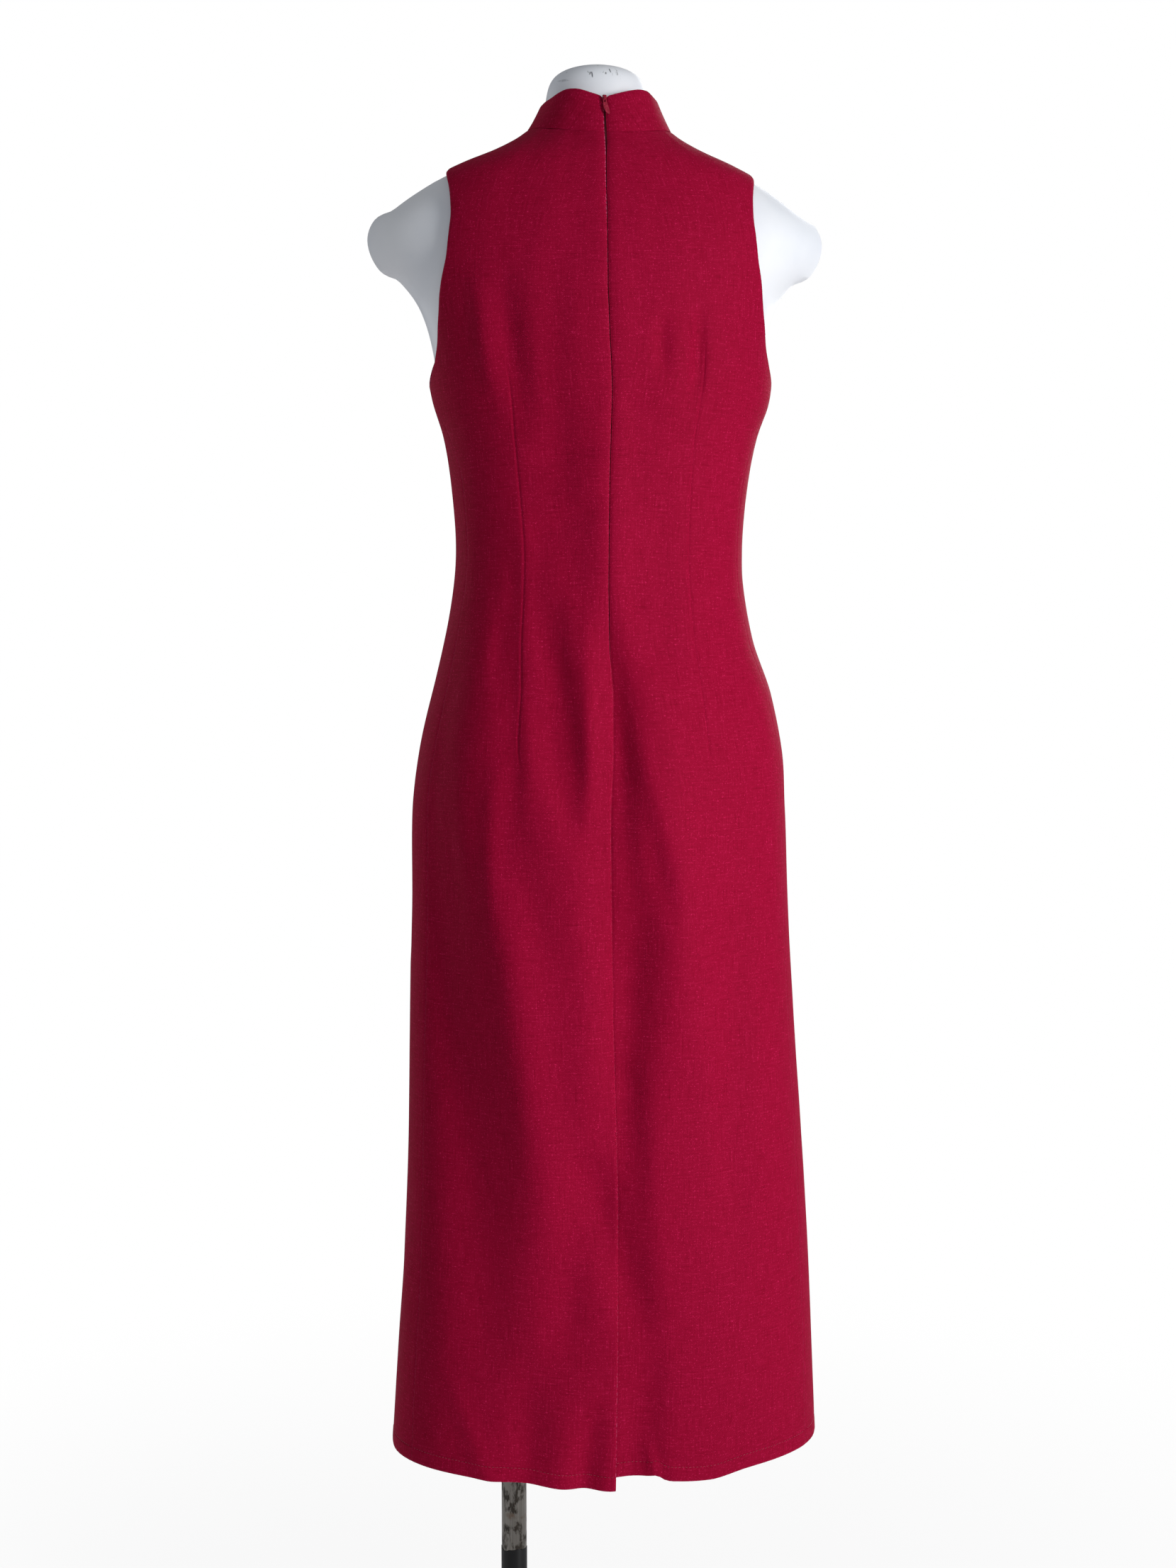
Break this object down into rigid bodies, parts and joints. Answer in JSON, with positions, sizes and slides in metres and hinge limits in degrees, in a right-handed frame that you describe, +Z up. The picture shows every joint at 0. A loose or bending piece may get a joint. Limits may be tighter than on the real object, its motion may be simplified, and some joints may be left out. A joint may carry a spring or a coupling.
{
  "type": "cheongsam dress on a dress form",
  "caption": "Sleeveless sheath cheongsam with stand collar, centre back zip and back vent, worn by a limbless white dress form on an off-centre pole and round base.",
  "frame": {"origin": "middle of the base plate's underside, below the middle of the figure", "axes": "+Z up, along the figure's height; the figure's front faces -Y and its back +Y; the wearer's left is +X"},
  "size_m": [0.398, 0.34, 1.4744],
  "materials": {
    "red_cloth": "plain slubbed weave with a soft sheen",
    "red_zip_tape": "fine woven tape",
    "red_metal": "lacquered",
    "white_shell": "satin, scuffed",
    "worn_steel": "scuffed and stained",
    "black_paint": "satin black"
  },
  "bodies": {
    "dress_and_form": {"front_panel": "red_cloth", "back_panel_left": "red_cloth", "back_panel_right": "red_cloth", "collar_left": "red_cloth", "collar_right": "red_cloth", "zip_tape": "red_zip_tape", "zip_slider": "red_metal", "dress_form": "white_shell", "pole_steel": "worn_steel", "pole_sleeve": "black_paint", "base_hub": "black_paint", "base_plate": "black_paint"},
    "pull_tab": {"zip_pull": "red_metal"}
  },
  "joints": [
    {"name": "pull_hinge", "type": "hinge", "parent": "dress_and_form", "child": "pull_tab", "pos_m": [-0.0025, 0.05603, 1.43613], "axis": [1, 0, 0], "range_deg": [0, 150]}
  ]
}
